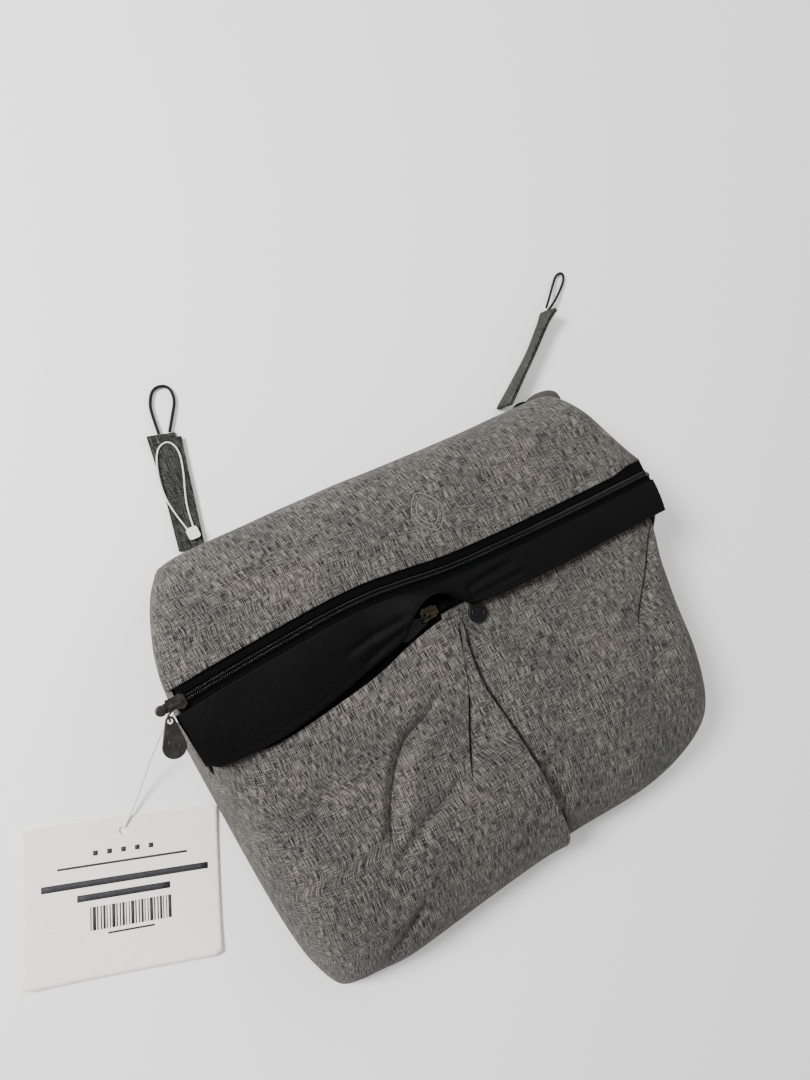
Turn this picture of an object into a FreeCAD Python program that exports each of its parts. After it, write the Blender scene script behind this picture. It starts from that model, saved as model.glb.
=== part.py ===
"""A soft diaper bag that hangs from a pushchair handle, lying on its back with the lid zipped shut.

Millimetres. +X is to the bag's right as seen from its front, +Y towards its top edge, +Z out of its front.
The origin is the middle of the back panel, on the face that the bag lies on.
"""
import FreeCAD, Part
import math
import os

V = FreeCAD.Vector

# Plan of the bag, seen from the front: half widths at named heights along Y.
BOTTOM_Y = -168.0
CORNER_Y = -140.0
BAND_Y = 30.0
ZIP_Y = 75.5
TOP_Y = 163.0
HALF_BOTTOM = 184.0
HALF_CORNER = 196.0
HALF_ZIP = 209.0
HALF_TOP = 195.0

# Cloth and sheet thicknesses.
SIDE_T = 2.5
FRONT_T = 2.5
BACK_T = 2.0
FOAM_T = 4.0
LINING_T = 0.8
BAND_T = 1.2
TAPE_T = 0.8
GAP = 0.3

# Heights above the face that the bag lies on.
ZIP_Z = 77.2
POCKET_ZIP_Z = 65.5
HINGE_Y = 167.5
HINGE_Z = 24.0

# Outer lines of the walls in the YZ plane, each from the bottom or the back towards the zip.
POCKET_LINE = [(BOTTOM_Y, 18.0), (-156.0, 40.0), (-128.0, 57.0), (-80.0, 71.0), (-30.0, 75.0),
               (0.0, 72.5), (15.5, 69.4), (36.0, 69.0)]
FRONT_LINE = [(-164.5, 8.0), (-150.0, 30.0), (-112.0, 46.0), (-60.0, 56.0), (0.0, 59.5), (47.0, 61.5),
              (60.5, 63.0), (66.0, ZIP_Z)]
TOP_LINE = [(TOP_Y + 0.4, BACK_T), (167.5, 11.0), (169.5, 22.8)]
LID_LINE = [(169.7, 25.2), (168.5, 37.0), (160.0, 53.0), (136.0, 70.5), (106.0, 79.2), (88.0, 81.0)]
BAND_LINE = [(39.5, 81.6), (54.0, 80.9), (68.5, 79.2)]

# Zips.
COIL_W = 2.0
COIL_H = 2.4
COIL_GAP = 0.25
TAPE_W = 14.0
POCKET_ZIP_Y = 50.0
POCKET_ZIP_HALF = 160.0
SLIDER_L = 14.0
SLIDER_W = 10.5
PLATE_T = 1.4
BRIDGE_H = 3.6
BRIDGE_W = 1.8
BRIDGE_BAR = 1.1
TAIL_KNOB_R = 3.6
TAIL_KNOB_T = 2.8
LINK_D = 1.3
PULLER_L = 26.5
SHORT_PULLER_L = 19.0
PULLER_W = 15.0
PULLER_T = 1.8
PULL_OUT = 8.2
MAIN_PULL_SHIFT = -7.0
MAIN_PULL_TURN = -15.0
POCKET_PULL_SHIFT = 5.0
POCKET_PULL_TURN = -4.0
TUCKED_SHIFT = 3.4
MAIN_SLIDER_X = -210.0
POCKET_LEFT_X = -24.0
POCKET_RIGHT_X = 6.0

# Straps: the point where each leaves the bag, the way it points, and its size.
STRAP_W = 20.0
STRAP_LAYER_T = 1.8
LEFT_STRAP_BASE = V(-146.0, 170.5, 0.0)
LEFT_STRAP_AIM = V(0.205, 0.979, 0.0)
LEFT_STRAP_L = 88.0
RIGHT_STRAP_BASE = V(151.0, 177.0, 0.0)
RIGHT_STRAP_AIM = V(0.80, 0.60, 0.0)
RIGHT_STRAP_L = 104.0
STRAP_LIFT = 0.4

# Elastic loops, strings and the hang tag.
ELASTIC_D = 2.4
STRING_D = 1.2
CARD_W = 127.0
CARD_H = 101.5
CARD_T = 0.5
CARD_TOP = V(-267.5, 18.0, 0.3)
CARD_TURN = -22.8
CARD_HOLE_IN = 9.0
CARD_HOLE_R = 2.5

LEFT_LOOP_ROUTE = [(-131.8, 257.8, 2.3), (-130.5, 269.0, 2.0), (-128.5, 281.5, 1.6), (-120.5, 293.0, 1.5),
                   (-109.0, 290.5, 1.5), (-109.0, 278.5, 1.6), (-116.5, 267.5, 2.0), (-123.8, 256.3, 2.3)]
RIGHT_LOOP_ROUTE = [(233.4, 241.0, 12.5), (244.0, 248.8, 8.4), (256.0, 258.5, 3.6), (268.5, 269.5, 1.6),
                    (276.5, 269.0, 1.5), (274.0, 261.5, 1.6), (262.0, 252.5, 3.0), (250.0, 244.5, 5.6),
                    (235.6, 238.3, 8.5)]
TAG_STRING_ROUTE = [(-212.5, 69.5, 76.0), (-217.0, 66.5, 64.0), (-223.0, 60.5, 46.0), (-231.5, 51.0, 28.0),
                    (-244.0, 36.5, 12.5), (-257.5, 21.5, 3.8), (-270.0, 10.5, 1.5)]
STRAP_STRING_ROUTE = [(-143.8, 183.0, 5.2), (-147.0, 197.0, 4.9), (-148.5, 213.0, 4.8), (-145.5, 231.0, 4.8),
                      (-138.5, 247.5, 4.8), (-128.0, 250.5, 4.8), (-123.5, 240.5, 4.8), (-127.5, 224.5, 4.8),
                      (-133.5, 209.0, 4.8), (-137.5, 196.0, 4.9), (-139.0, 183.0, 5.2)]


def plan_points(inset=0.0):
    """Corners of the bag's plan, moved in by inset on every side."""
    half = [(HALF_BOTTOM, BOTTOM_Y), (HALF_CORNER, CORNER_Y), (HALF_ZIP, BAND_Y), (HALF_ZIP, ZIP_Y),
            (HALF_TOP, TOP_Y)]
    outline = half + [(-x, y) for x, y in reversed(half)]
    wire = Part.makePolygon([V(x, y, 0) for x, y in outline + outline[:1]])
    return wire.makeOffset2D(-inset) if inset else wire


def plan_prism(inset=0.0, low=-5.0, high=110.0):
    """The space inside the bag's plan, from one height to another."""
    face = Part.Face(plan_points(inset))
    face.translate(V(0, 0, low))
    return face.extrude(V(0, 0, high - low))


def section(points, x_low=-230.0, x_high=230.0):
    """A closed outline in the YZ plane, drawn out along X."""
    corners = [V(x_low, y, z) for y, z in points]
    return Part.Face(Part.makePolygon(corners + corners[:1])).extrude(V(x_high - x_low, 0, 0))


def inner_line(line, thickness):
    """A line in the YZ plane moved to its right by the thickness, with mitred corners."""
    moved = []
    for i, (y, z) in enumerate(line):
        before = line[max(i - 1, 0)]
        after = line[min(i + 1, len(line) - 1)]
        turns = []
        for (y0, z0), (y1, z1) in ((before, (y, z)), ((y, z), after)):
            run = math.hypot(y1 - y0, z1 - z0)
            if run > 0:
                turns.append(((z1 - z0) / run, -(y1 - y0) / run))
        ny = sum(n[0] for n in turns) / len(turns)
        nz = sum(n[1] for n in turns) / len(turns)
        scale = thickness / (ny * ny + nz * nz)
        moved.append((y + ny * scale, z + nz * scale))
    return moved


def wall(line, thickness, x_low, x_high, side):
    """A sheet of even thickness under a line in the YZ plane. side is 1 where its inside is on the right."""
    inside = inner_line(line, thickness * side)
    return section(line + inside[::-1], x_low, x_high)


def box(x0, x1, y0, y1, z0, z1):
    return Part.makeBox(x1 - x0, y1 - y0, z1 - z0, V(x0, y0, z0))


def rounded_box(x0, x1, y0, y1, z0, z1, radius):
    """A box with its four upright edges rounded."""
    shape = box(x0, x1, y0, y1, z0, z1)
    upright = [e for e in shape.Edges if abs(e.tangentAt(e.FirstParameter).z) > 0.99]
    return shape.makeFillet(radius, upright)


# ---------------------------------------------------------------- bag body

def back_panel():
    return plan_prism(0.0, 0.0, BACK_T)


def back_foam():
    foam = plan_prism(7.0, BACK_T, BACK_T + FOAM_T)
    return foam.cut(box(-300, 300, TOP_Y - 26.0, TOP_Y + 20.0, 0, 20))


def slip_pocket():
    """The open-topped inner pocket, a sheet of lining that lies on the foam."""
    z_low = BACK_T + FOAM_T
    return box(-120, 120, -120, 60, z_low, z_low + LINING_T)


def base_board():
    """The stiffener that stands on the foam just inside the bottom panel."""
    z_low = BACK_T + FOAM_T
    return box(-160, 160, -156.5, -154.5, z_low, z_low + 7.0)


def under_front():
    """Outline of the space under the pocket, the band and the lid's cut, seen from the side."""
    low = [(BOTTOM_Y - 1.0, BACK_T), (BOTTOM_Y - 1.0, 18.0)]
    rise = POCKET_LINE[1:] + [(39.0, 72.0), (68.0, ZIP_Z - GAP), (82.0, ZIP_Z - 1.5)]
    top = TOP_Y - SIDE_T - 0.1
    return low + rise + [(top, HINGE_Z), (top, BACK_T)]


def side_wall():
    ring = plan_prism(0.0).cut(plan_prism(SIDE_T))
    return ring.common(section(under_front()))


def side_panel(sign):
    whole = side_wall().cut(box(-300, 300, -200, CORNER_Y, -10, 200))
    keep = box(100, 300, -200, 200, -10, 200) if sign > 0 else box(-300, -100, -200, 200, -10, 200)
    whole = whole.common(keep)
    return whole


def bottom_panel():
    return side_wall().common(box(-300, 300, -200, CORNER_Y, -10, 200))


def front_panel():
    sheet = wall(FRONT_LINE, LINING_T * 2, -230, 230, 1)
    sheet = sheet.common(plan_prism(SIDE_T))
    return sheet.cut(box(-300, 300, -300, 300, ZIP_Z, ZIP_Z + 50))


def front_pocket(sign):
    """One half of the outer pocket; the halves meet at the pleat in the middle."""
    x_low, x_high = (0.15, 230.0) if sign > 0 else (-230.0, -0.15)
    return wall(POCKET_LINE, FRONT_T, x_low, x_high, 1).common(plan_prism(SIDE_T))


def pleat_underlay():
    """The cloth folded in behind the pleat, which lies against both halves of the pocket."""
    outer = inner_line(POCKET_LINE[2:-1], FRONT_T + 0.1)
    return wall(outer, 1.5, -28.0, 28.0, 1)


def zip_band():
    """The nylon band under the main zip, whose lower edge hangs free over the pocket zip."""
    return wall(BAND_LINE, BAND_T, -HALF_ZIP - 1.0, HALF_ZIP + 4.0, 1)


def strap_anchor(base):
    """The patch inside the top edge that a strap is sewn to."""
    x = base.x
    return rounded_box(x - 15, x + 15, TOP_Y - 24.0, TOP_Y - 8.0, BACK_T, BACK_T + 1.5, 2.0)


def top_panel():
    """The wall along the top edge, between the back panel and the fold that the lid turns on."""
    half = HALF_TOP - SIDE_T
    return wall(TOP_LINE, FRONT_T, -half, half, -1)


def main_tape(upper):
    half = HALF_ZIP + 5.0
    if upper:
        return box(-half, half, ZIP_Y + 1.2, ZIP_Y + TAPE_W, ZIP_Z, ZIP_Z + TAPE_T)
    return box(-half, half, ZIP_Y - TAPE_W, ZIP_Y - 1.2, ZIP_Z, ZIP_Z + TAPE_T)


def main_coil(upper):
    half = HALF_ZIP - 1.0
    near = COIL_GAP / 2
    z_low = ZIP_Z + TAPE_T
    y_low = ZIP_Y + near if upper else ZIP_Y - near - COIL_W
    return box(-half, half, y_low, y_low + COIL_W, z_low - 0.6, z_low - 0.6 + COIL_H).cut(main_tape(upper))


def main_zip_stops():
    """Metal stops at both ends of the lower coil."""
    z_low = ZIP_Z + TAPE_T - 0.6
    stops = []
    for x in (-HALF_ZIP - 1.5, HALF_ZIP - 0.5):
        stops.append(box(x, x + 2.0, ZIP_Y - 3.5, ZIP_Y - 0.3, z_low + 0.6, z_low + 2.0))
    return Part.makeCompound(stops)


def pocket_tape(upper):
    half = POCKET_ZIP_HALF + 12.0
    if upper:
        return box(-half, half, POCKET_ZIP_Y + 1.2, POCKET_ZIP_Y + 9.0, POCKET_ZIP_Z, POCKET_ZIP_Z + TAPE_T)
    return box(-half, half, POCKET_ZIP_Y - 15.5, POCKET_ZIP_Y - 1.2, POCKET_ZIP_Z, POCKET_ZIP_Z + TAPE_T)


def pocket_coil(upper):
    near = COIL_GAP / 2
    y_low = POCKET_ZIP_Y + near if upper else POCKET_ZIP_Y - near - COIL_W
    z_low = POCKET_ZIP_Z + TAPE_T - 0.6
    bar = box(-POCKET_ZIP_HALF, POCKET_ZIP_HALF, y_low, y_low + COIL_W, z_low, z_low + COIL_H)
    return bar.cut(pocket_tape(upper))


def pocket_zip_stops():
    z_low = POCKET_ZIP_Z + TAPE_T
    stops = []
    for x in (-POCKET_ZIP_HALF - 2.2, POCKET_ZIP_HALF + 0.2):
        stops.append(box(x, x + 2.0, POCKET_ZIP_Y - 3.0, POCKET_ZIP_Y + 3.0, z_low, z_low + 1.6))
    return Part.makeCompound(stops)


# ---------------------------------------------------------------- lid

def lid_panel():
    return wall(LID_LINE, FRONT_T, -230, 230, -1).common(plan_prism(SIDE_T, -5, 110).fuse(lid_overhang()))


def lid_overhang():
    """Room behind the top edge, where the lid's cloth bulges past the back panel."""
    reach = HALF_TOP - SIDE_T
    return box(-reach, reach, TOP_Y - SIDE_T - 1.0, TOP_Y + 20.0, -5, 110)


def lid_lining():
    outer = inner_line(LID_LINE, -FRONT_T)
    sheet = wall(outer[:-1], LINING_T, -188.0, 188.0, -1)
    return sheet


def lid_end(sign):
    """The gore that closes one end of the lid, above the slanting cut where it meets the side."""
    top = TOP_Y - SIDE_T - 0.1
    cut = [(top, HINGE_Z + 0.9), (84.0, ZIP_Z - 0.9), (84.0, ZIP_Z + 2.5)]
    under = section(cut + LID_LINE[::-1][1:-1])
    ring = plan_prism(0.0).cut(plan_prism(SIDE_T))
    keep = box(100, 300, 84.0, top, -10, 200) if sign > 0 else box(-300, -100, 84.0, top, -10, 200)
    return ring.common(under).common(keep).cut(main_tape(True))


# ---------------------------------------------------------------- sliders and pullers

def slider_plate(x, y, z):
    """A slider's upper plate: broad and rounded at the nose, narrow at the tail."""
    half = SLIDER_W / 2
    tail = half * 0.62
    front, back = x + SLIDER_L / 2, x - SLIDER_L / 2
    points = [V(back, y - tail, z), V(x - 1.0, y - tail, z), V(front - 3.0, y - half, z), V(front, y - half + 2.0, z),
              V(front, y + half - 2.0, z), V(front - 3.0, y + half, z), V(x - 1.0, y + tail, z), V(back, y + tail, z)]
    return Part.Face(Part.makePolygon(points + points[:1])).extrude(V(0, 0, PLATE_T))


def slider_bridge(x, y, z):
    """The arch on a slider's plate that holds the pull."""
    wide, bar = BRIDGE_W, BRIDGE_BAR
    high = BRIDGE_H
    long = 9.0
    arch = box(x - long / 2, x + long / 2, y - wide / 2, y + wide / 2, z, z + high)
    hole = box(x - long / 2 + 1.3, x + long / 2 - 1.3, y - wide, y + wide, z - 1.0, z + high - bar)
    top = [e for e in arch.Edges if abs(e.tangentAt(e.FirstParameter).y) > 0.99 and e.CenterOfMass.z > z + 1.0]
    return arch.makeFillet(1.2, top).cut(hole)


def main_slider():
    z = plate_top(ZIP_Z) - PLATE_T
    plate = slider_plate(MAIN_SLIDER_X, ZIP_Y, z)
    cheek = box(MAIN_SLIDER_X - 5.0, MAIN_SLIDER_X + 5.0, ZIP_Y + COIL_W + 1.0, ZIP_Y + 4.6, ZIP_Z + TAPE_T + 0.15, z)
    knob = Part.makeCylinder(TAIL_KNOB_R, TAIL_KNOB_T, V(MAIN_SLIDER_X - SLIDER_L / 2 - 2.3, ZIP_Y, z), V(0, 0, 1))
    rim = [e for e in knob.Edges if e.CenterOfMass.z > z + TAIL_KNOB_T - 0.01 and len(e.Vertexes) == 1]
    return plate.fuse(knob.makeFillet(0.9, rim[:1])).fuse(cheek).fuse(slider_bridge(MAIN_SLIDER_X, ZIP_Y, z + PLATE_T)).removeSplitter()


def pocket_slider(x, front):
    """A pocket slider; front is 1 if its broad nose points to +X."""
    z = plate_top(POCKET_ZIP_Z) - PLATE_T
    shape = slider_plate(x, POCKET_ZIP_Y, z)
    for side in (-1, 1):
        y_mid = POCKET_ZIP_Y + side * 3.9
        cheek = box(x - 5.0, x + 5.0, y_mid - 0.6, y_mid + 0.6, POCKET_ZIP_Z + TAPE_T + 0.15, z)
        shape = shape.fuse(cheek)
    shape = shape.fuse(slider_bridge(x, POCKET_ZIP_Y, z + PLATE_T)).removeSplitter()
    if front < 0:
        shape.rotate(V(x, POCKET_ZIP_Y, 0), V(0, 0, 1), 180)
    return shape


def teardrop(x, y, z, length=PULLER_L):
    """A pull tab that hangs towards -Y from its eye at (x, y): narrow at the eye, round at the tip."""
    big = PULLER_W / 2
    small = 3.2
    reach = length - big - small
    lean = math.asin((big - small) / reach)
    c, s = math.cos(lean), math.sin(lean)
    eye, tip = V(x, y, z), V(x, y - reach, z)
    right_top = eye + V(small * c, small * s, 0)
    left_top = eye + V(-small * c, small * s, 0)
    right_low = tip + V(big * c, big * s, 0)
    left_low = tip + V(-big * c, big * s, 0)
    edges = [Part.LineSegment(right_top, right_low).toShape(),
             Part.Arc(right_low, tip + V(0, -big, 0), left_low).toShape(),
             Part.LineSegment(left_low, left_top).toShape(),
             Part.Arc(left_top, eye + V(0, small, 0), right_top).toShape()]
    blade = Part.Face(Part.Wire(edges)).extrude(V(0, 0, PULLER_T))
    eye_hole = Part.makeCylinder(1.7, PULLER_T * 2, eye - V(0, 0, PULLER_T / 2), V(0, 0, 1))
    rim = [e for e in blade.Edges if abs(e.CenterOfMass.z - z - PULLER_T) < 0.01]
    return blade.makeFillet(0.5, rim).cut(eye_hole)


def link(points, diameter):
    """A bent wire through a list of points, with round elbows."""
    shape = None
    for a, b in zip(points, points[1:]):
        rod = Part.makeCylinder(diameter / 2, (b - a).Length, a, b - a)
        shape = rod if shape is None else shape.fuse(rod)
        shape = shape.fuse(Part.makeSphere(diameter / 2, b))
    return shape.fuse(Part.makeSphere(diameter / 2, points[0])).removeSplitter()


def plate_top(zip_z):
    """Height of the top of a slider's plate on a zip whose tape lies at zip_z."""
    return zip_z + TAPE_T - 0.6 + COIL_H + GAP + PLATE_T


def pull_tab(x, y, zip_z, shift, turn, length):
    """A pull tab, laid about towards -Y from its slider's bridge at (x, y), with its eye shifted along X."""
    eye = V(x + shift, y - PULL_OUT, plate_top(zip_z) + 0.5)
    shape = teardrop(eye.x, eye.y, eye.z, length)
    shape.rotate(eye, V(0, 0, 1), turn)
    return shape


def tucked_tab(x, y, zip_z):
    """A pull tab tucked under the band, laid towards -X from its slider's bridge at (x, y)."""
    eye = V(x - PULL_OUT, y - TUCKED_SHIFT, plate_top(zip_z) + 0.5)
    shape = teardrop(eye.x, eye.y, eye.z)
    shape.rotate(eye, V(0, 0, 1), -90)
    return shape


def pull_link(x, y, zip_z, shift):
    """The wire hook that passes under a slider's bridge and into the eye of its pull tab."""
    under = plate_top(zip_z) + (BRIDGE_H - BRIDGE_BAR) / 2
    over = plate_top(zip_z) + 0.5 + PULLER_T + LINK_D / 2 + 0.2
    bar_x, eye_x, eye_y = x + 0.3 * shift, x + shift, y - PULL_OUT
    points = [V(bar_x, y + 0.8, under), V(bar_x, y - 2.4, under), V(eye_x, y - 4.6, over), V(eye_x, eye_y, over),
              V(eye_x, eye_y, plate_top(zip_z) + 0.9)]
    return link(points, LINK_D)


def tucked_link(x, y, zip_z):
    """The wire hook of a tucked pull tab, which comes out from under the bridge and turns to -X."""
    under = plate_top(zip_z) + (BRIDGE_H - BRIDGE_BAR) / 2
    over = plate_top(zip_z) + 0.5 + PULLER_T + LINK_D / 2 + 0.2
    eye_x, eye_y = x - PULL_OUT, y - TUCKED_SHIFT
    points = [V(x, y + 0.8, under), V(x, y - 2.4, under), V(x - 3.4, eye_y, over), V(eye_x, eye_y, over),
              V(eye_x, eye_y, plate_top(zip_z) + 0.9)]
    return link(points, LINK_D)


# ---------------------------------------------------------------- straps, loops, strings and tag

def strap_layer(base, aim, length, layer, on_edge):
    """One of a strap's two layers: flat on the ground, or standing on its long edge."""
    thick = STRAP_LAYER_T
    if on_edge:
        shape = box(-thick + layer * thick, layer * thick, 0, length, STRAP_LIFT, STRAP_LIFT + STRAP_W)
    else:
        z_low = STRAP_LIFT + layer * thick
        shape = box(-STRAP_W / 2, STRAP_W / 2, 0, length, z_low, z_low + thick)
    shape.rotate(V(0, 0, 0), V(0, 0, 1), math.degrees(math.atan2(-aim.x, aim.y)))
    shape.translate(base)
    return shape


def tube(route, diameter, name):
    """A cord: straight runs joined by tangent arcs, each as large as its two runs allow."""
    points = [V(*p) for p in route]
    edges, at, tightest = [], points[0], 1e9
    for before, corner, after in zip(points, points[1:], points[2:]):
        into, out = corner - before, after - corner
        run = min(into.Length, out.Length)
        half_turn = into.getAngle(out) / 2
        into.normalize()
        out.normalize()
        cut = 0.45 * run
        tightest = min(tightest, cut / math.tan(half_turn))
        start, end = corner - into * cut, corner + out * cut
        middle_way = (out - into).normalize()
        radius = cut / math.tan(half_turn)
        centre = corner + middle_way * (radius / math.cos(half_turn))
        edges.append(Part.LineSegment(at, start).toShape())
        edges.append(Part.Arc(start, centre - middle_way * radius, end).toShape())
        at = end
    edges.append(Part.LineSegment(at, points[-1]).toShape())
    path = Part.Wire(edges)
    ring = Part.Wire(Part.Circle(points[0], points[1] - points[0], diameter / 2).toShape())
    shape = path.makePipeShell([ring], True, True)
    ideal = math.pi * diameter * diameter / 4 * path.Length
    print(f"{name}: length {path.Length:.1f} mm, tightest radius {tightest:.1f} mm, "
          f"volume {shape.Volume:.1f} of {ideal:.1f} mm3")
    return shape


def hang_tag_card():
    """The paper card with a punched hole by its top edge."""
    card = box(-CARD_W / 2, CARD_W / 2, -CARD_H, 0, 0, CARD_T)
    hole = Part.makeCylinder(CARD_HOLE_R, CARD_T * 4, V(0, -CARD_HOLE_IN, -CARD_T), V(0, 0, 1))
    card = card.cut(hole)
    card.rotate(V(0, 0, 0), V(0, 0, 1), CARD_TURN)
    card.translate(CARD_TOP)
    return card


def string_clasp():
    """The small plastic clasp that closes the strap's string into a loop."""
    return rounded_box(-145.5, -137.0, 174.0, 183.0, 4.2, 7.6, 2.0)


def make_parts():
    left_base, left_aim = LEFT_STRAP_BASE, LEFT_STRAP_AIM
    right_base, right_aim = RIGHT_STRAP_BASE, RIGHT_STRAP_AIM
    return {
        "back_panel": back_panel(),
        "back_foam": back_foam(),
        "slip_pocket": slip_pocket(),
        "base_board": base_board(),
        "bottom_panel": bottom_panel(),
        "left_side_panel": side_panel(-1),
        "right_side_panel": side_panel(1),
        "front_panel": front_panel(),
        "front_pocket_left": front_pocket(-1),
        "front_pocket_right": front_pocket(1),
        "pleat_underlay": pleat_underlay(),
        "zip_band": zip_band(),
        "top_panel": top_panel(),
        "left_strap_anchor": strap_anchor(left_base),
        "right_strap_anchor": strap_anchor(right_base),
        "main_lower_tape": main_tape(False),
        "main_lower_coil": main_coil(False),
        "main_zip_stops": main_zip_stops(),
        "pocket_upper_tape": pocket_tape(True),
        "pocket_lower_tape": pocket_tape(False),
        "pocket_upper_coil": pocket_coil(True),
        "pocket_lower_coil": pocket_coil(False),
        "pocket_zip_stops": pocket_zip_stops(),
        "lid_panel": lid_panel(),
        "lid_lining": lid_lining(),
        "lid_left_end": lid_end(-1),
        "lid_right_end": lid_end(1),
        "main_upper_tape": main_tape(True),
        "main_upper_coil": main_coil(True),
        "main_slider": main_slider(),
        "main_link": pull_link(MAIN_SLIDER_X, ZIP_Y, ZIP_Z, MAIN_PULL_SHIFT),
        "main_puller": pull_tab(MAIN_SLIDER_X, ZIP_Y, ZIP_Z, MAIN_PULL_SHIFT, MAIN_PULL_TURN, PULLER_L),
        "pocket_left_slider": pocket_slider(POCKET_LEFT_X, -1),
        "pocket_left_link": tucked_link(POCKET_LEFT_X, POCKET_ZIP_Y, POCKET_ZIP_Z),
        "pocket_left_puller": tucked_tab(POCKET_LEFT_X, POCKET_ZIP_Y, POCKET_ZIP_Z),
        "pocket_right_slider": pocket_slider(POCKET_RIGHT_X, 1),
        "pocket_right_link": pull_link(POCKET_RIGHT_X, POCKET_ZIP_Y, POCKET_ZIP_Z, POCKET_PULL_SHIFT),
        "pocket_right_puller": pull_tab(POCKET_RIGHT_X, POCKET_ZIP_Y, POCKET_ZIP_Z, POCKET_PULL_SHIFT,
                                        POCKET_PULL_TURN, SHORT_PULLER_L),
        "left_strap_lower": strap_layer(left_base, left_aim, LEFT_STRAP_L, 0, False),
        "left_strap_upper": strap_layer(left_base, left_aim, LEFT_STRAP_L - 4.0, 1, False),
        "right_strap_inner": strap_layer(right_base, right_aim, RIGHT_STRAP_L, 0, True),
        "right_strap_outer": strap_layer(right_base, right_aim, RIGHT_STRAP_L, 1, True),
        "left_loop": tube(LEFT_LOOP_ROUTE, ELASTIC_D, "left_loop"),
        "right_loop": tube(RIGHT_LOOP_ROUTE, ELASTIC_D, "right_loop"),
        "strap_string": tube(STRAP_STRING_ROUTE, STRING_D, "strap_string"),
        "string_clasp": string_clasp(),
        "hang_tag_string": tube(TAG_STRING_ROUTE, STRING_D, "hang_tag_string"),
        "hang_tag_card": hang_tag_card(),
    }


os.makedirs("parts", exist_ok=True)
for node, shape in make_parts().items():
    print(node, shape.ShapeType, "valid" if shape.isValid() else "INVALID", len(shape.Solids), round(shape.Volume))
    shape.exportStep(f"parts/{node}.step")
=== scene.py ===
"""Looks of a soft diaper bag: cloth shells, zips, straps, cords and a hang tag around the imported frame.

Shapes are written in millimetres in the bag's own frame and turned to metres when a mesh is made; cord routes
are in metres. +X is to the bag's right, +Y towards its top edge, +Z out of its front, and it lies on z = 0.
"""
import math

import bpy
import numpy as np
from mathutils import Euler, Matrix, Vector


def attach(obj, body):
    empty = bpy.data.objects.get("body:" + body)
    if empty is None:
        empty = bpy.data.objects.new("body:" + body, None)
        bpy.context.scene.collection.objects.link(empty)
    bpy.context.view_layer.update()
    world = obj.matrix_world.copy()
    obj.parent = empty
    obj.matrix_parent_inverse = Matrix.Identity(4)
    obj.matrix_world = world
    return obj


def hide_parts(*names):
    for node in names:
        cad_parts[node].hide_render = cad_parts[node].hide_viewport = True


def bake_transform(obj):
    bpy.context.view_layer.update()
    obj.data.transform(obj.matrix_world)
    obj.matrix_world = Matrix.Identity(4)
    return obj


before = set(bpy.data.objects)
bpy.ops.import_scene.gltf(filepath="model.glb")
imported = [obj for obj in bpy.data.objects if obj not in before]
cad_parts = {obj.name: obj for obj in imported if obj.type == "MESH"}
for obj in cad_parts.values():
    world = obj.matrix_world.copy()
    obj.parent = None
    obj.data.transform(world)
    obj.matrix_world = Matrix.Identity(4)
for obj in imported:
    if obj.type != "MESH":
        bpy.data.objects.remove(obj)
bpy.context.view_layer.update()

MM = 0.001


# ---- camera, light and floor

CAMERA_LENS = 27.03
SENSOR_WIDTH = 36.0
CAMERA_PLACE = (-0.2440, 0.1059, 0.6169)
CAMERA_TURN = (10.19, -20.27, -27.52)
SKY_STRENGTH = 0.62
FLOOR_HALF = 3.0
FLOOR_DROP = 0.0006


def add_camera():
    """The camera above the lying bag, turned a little to the side."""
    data = bpy.data.cameras.new("camera")
    data.lens = CAMERA_LENS
    data.sensor_width = SENSOR_WIDTH
    camera = bpy.data.objects.new("camera", data)
    camera.location = CAMERA_PLACE
    camera.rotation_euler = Euler([math.radians(a) for a in CAMERA_TURN], "XYZ")
    bpy.context.scene.collection.objects.link(camera)
    bpy.context.scene.camera = camera


def add_area_light(name, position, target, size, energy):
    """A round soft light that points at a target."""
    data = bpy.data.lights.new(name, "AREA")
    data.shape = "DISK"
    data.size = size
    data.energy = energy
    light = bpy.data.objects.new(name, data)
    light.location = position
    light.rotation_euler = (Vector(target) - Vector(position)).to_track_quat("-Z", "Y").to_euler()
    bpy.context.scene.collection.objects.link(light)


def add_studio():
    """A key light from the upper left, a weaker fill, a white sky and a white floor."""
    add_area_light("key", (-1.0, 0.75, 1.15), (0.0, 0.0, 0.0), 0.5, 46.0)
    add_area_light("fill", (1.2, 0.9, 1.3), (0.0, 0.0, 0.05), 1.2, 14.0)
    world = bpy.data.worlds.new("studio")
    bpy.context.scene.world = world
    world.use_nodes = True
    background = world.node_tree.nodes["Background"]
    background.inputs["Color"].default_value = (1.0, 1.0, 1.0, 1.0)
    background.inputs["Strength"].default_value = SKY_STRENGTH
    corners = [(x * FLOOR_HALF, y * FLOOR_HALF, 0) for x, y in ((-1, -1), (1, -1), (1, 1), (-1, 1))]
    mesh = bpy.data.meshes.new("floor")
    mesh.from_pydata(corners, [], [(0, 1, 2, 3)])
    floor = bpy.data.objects.new("floor", mesh)
    floor.location = (0.0, 0.0, -FLOOR_DROP)
    bpy.context.scene.collection.objects.link(floor)
    paint = bpy.data.materials.new("floor_paint")
    paint.use_nodes = True
    shader = paint.node_tree.nodes["Principled BSDF"]
    shader.inputs["Base Color"].default_value = (0.97, 0.97, 0.965, 1.0)
    shader.inputs["Roughness"].default_value = 0.9
    mesh.materials.append(paint)


# ---- materials

def linear(r, g, b):
    """A display colour, 0 to 255 a channel, as the linear colour that shaders take."""
    shares = [value / 255.0 for value in (r, g, b)]
    return (*(s / 12.92 if s <= 0.04045 else ((s + 0.055) / 1.055) ** 2.4 for s in shares), 1.0)


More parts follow.
